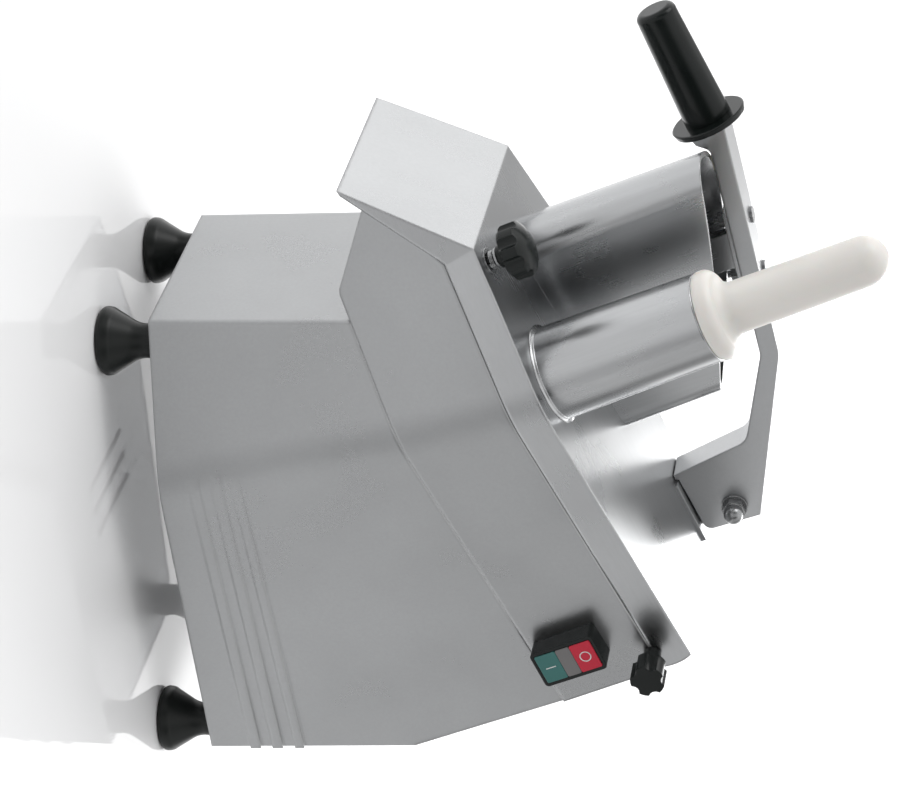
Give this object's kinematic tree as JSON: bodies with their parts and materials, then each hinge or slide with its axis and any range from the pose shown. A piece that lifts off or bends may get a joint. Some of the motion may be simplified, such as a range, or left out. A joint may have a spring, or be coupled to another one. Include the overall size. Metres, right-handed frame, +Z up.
{
  "type": "inclined vegetable cutter",
  "caption": "Bench-top vegetable cutter with an inclined hinged lid, lever-fed half-moon hopper, round feed tube and pusher, discharge hood, side switch and rubber feet.",
  "frame": {"origin": "centre of the bounding box, at the height the feet stand on", "axes": "+Z up, -Y out of the discharge chute, +X the side with the switch and the round feed tube"},
  "size_m": [0.2471, 0.5409, 0.5602],
  "materials": {
    "cast_body": "blasted cast aluminium, satin",
    "cast_lid": "polished cast aluminium, satin",
    "satin_aluminium": "satin machined",
    "sheet_steel": "brushed",
    "bolt_steel": "machined",
    "bearing_steel": "ground",
    "blade_steel": "ground",
    "black_plastic": "gloss black",
    "white_plastic": "matte warm white",
    "cream_rubber": "matte cream",
    "black_rubber": "matte black",
    "foot_rubber": "semi-gloss black",
    "red_plastic": "gloss red",
    "grey_plastic": "matte grey",
    "green_plastic": "gloss green",
    "motor_paint": "satin paint"
  },
  "bodies": {
    "body": {"base_housing": "cast_body", "bottom_plate": "sheet_steel", "chamber_casting": "cast_body", "bearing_housing": "satin_aluminium", "housing_screws": "bolt_steel", "shaft_bearings": "bearing_steel", "shaft_seal": "black_rubber", "drive_belt": "black_rubber", "motor_plate": "sheet_steel", "motor_standoffs": "bolt_steel", "motor_case": "motor_paint", "motor_end_shields": "satin_aluminium", "switch_housing": "black_plastic", "indicator_lens": "grey_plastic", "switch_contacts": "grey_plastic", "lid_switch": "grey_plastic", "control_relay": "grey_plastic", "run_capacitor": "satin_aluminium", "cable_gland": "black_plastic", "foot_front_left": "foot_rubber", "foot_front_right": "foot_rubber", "foot_rear_left": "foot_rubber", "foot_rear_right": "foot_rubber", "foot_studs": "bolt_steel"},
    "cutter": {"disc_shaft": "bolt_steel", "driven_pulley": "satin_aluminium", "ejector_disc": "white_plastic", "cutting_disc": "satin_aluminium", "slicing_blades": "blade_steel", "blade_screws": "bolt_steel"},
    "rotor": {"motor_rotor": "bolt_steel", "motor_pulley": "satin_aluminium"},
    "lid": {"lid_cover": "cast_lid", "large_hopper": "satin_aluminium", "round_feed_tube": "satin_aluminium", "lever_bracket": "satin_aluminium", "pivot_bolt": "bolt_steel", "pivot_washer": "bolt_steel", "pivot_nut": "bolt_steel", "lock_base_washer": "bolt_steel", "lock_spring": "bolt_steel", "lock_top_washer": "bolt_steel", "lid_magnet": "black_plastic"},
    "lever": {"lever_arm": "satin_aluminium", "pusher_stem": "satin_aluminium", "pusher_foot": "white_plastic", "pusher_bolts": "bolt_steel", "pusher_nuts": "bolt_steel", "rest_buffer": "cream_rubber", "grip_guard": "black_plastic", "hand_grip": "black_plastic", "grip_rod": "bolt_steel"},
    "round_pusher": {"round_pusher": "white_plastic"},
    "lock": {"lock_knob": "black_plastic", "lock_screw": "bolt_steel"},
    "hinge_pin": {"hinge_rod": "bolt_steel", "hinge_knob": "black_plastic"},
    "stop_key": {"stop_button": "red_plastic"},
    "start_key": {"start_button": "green_plastic"}
  },
  "joints": [
    {"name": "cutter_spin", "type": "hinge", "parent": "body", "child": "cutter", "pos_m": [-0.003, -0.01471, 0.27155], "axis": [0, -0.3697, 0.9291], "continuous": true},
    {"name": "motor_spin", "type": "hinge", "parent": "body", "child": "rotor", "pos_m": [-0.003, 0.15599, 0.1888], "axis": [0, -0.3697, 0.9291], "continuous": true},
    {"name": "lid_hinge", "type": "hinge", "parent": "body", "child": "lid", "pos_m": [-0.003, 0.16979, 0.38265], "axis": [-1, 0, 0], "range_deg": [0, 45]},
    {"name": "lever_pivot", "type": "hinge", "parent": "lid", "child": "lever", "pos_m": [-0.073, 0.13673, 0.43191], "axis": [-1, 0, 0], "range_deg": [0, 75]},
    {"name": "round_pusher_slide", "type": "slide", "parent": "lid", "child": "round_pusher", "axis": [0, -0.3697, 0.9291], "range_m": [0, 0.12]},
    {"name": "lock_turn", "type": "hinge", "parent": "lid", "child": "lock", "pos_m": [0.065, -0.14558, 0.29481], "axis": [0, -0.3697, 0.9291], "range_deg": [0, 1440]},
    {"name": "hinge_pin_turn", "type": "hinge", "parent": "body", "child": "hinge_pin", "pos_m": [-0.003, 0.16979, 0.38265], "axis": [1, 0, 0], "continuous": true},
    {"name": "stop_press", "type": "slide", "parent": "body", "child": "stop_key", "axis": [-1, 0, 0], "range_m": [0, 0.003], "stiffness_N_per_m": 300, "springref_m": -0.002},
    {"name": "start_press", "type": "slide", "parent": "body", "child": "start_key", "axis": [-1, 0, 0], "range_m": [0, 0.003], "stiffness_N_per_m": 300, "springref_m": -0.002}
  ],
  "couplings": [
    {"joint": "motor_spin", "follows": "cutter_spin", "ratio": 5.1667}
  ]
}
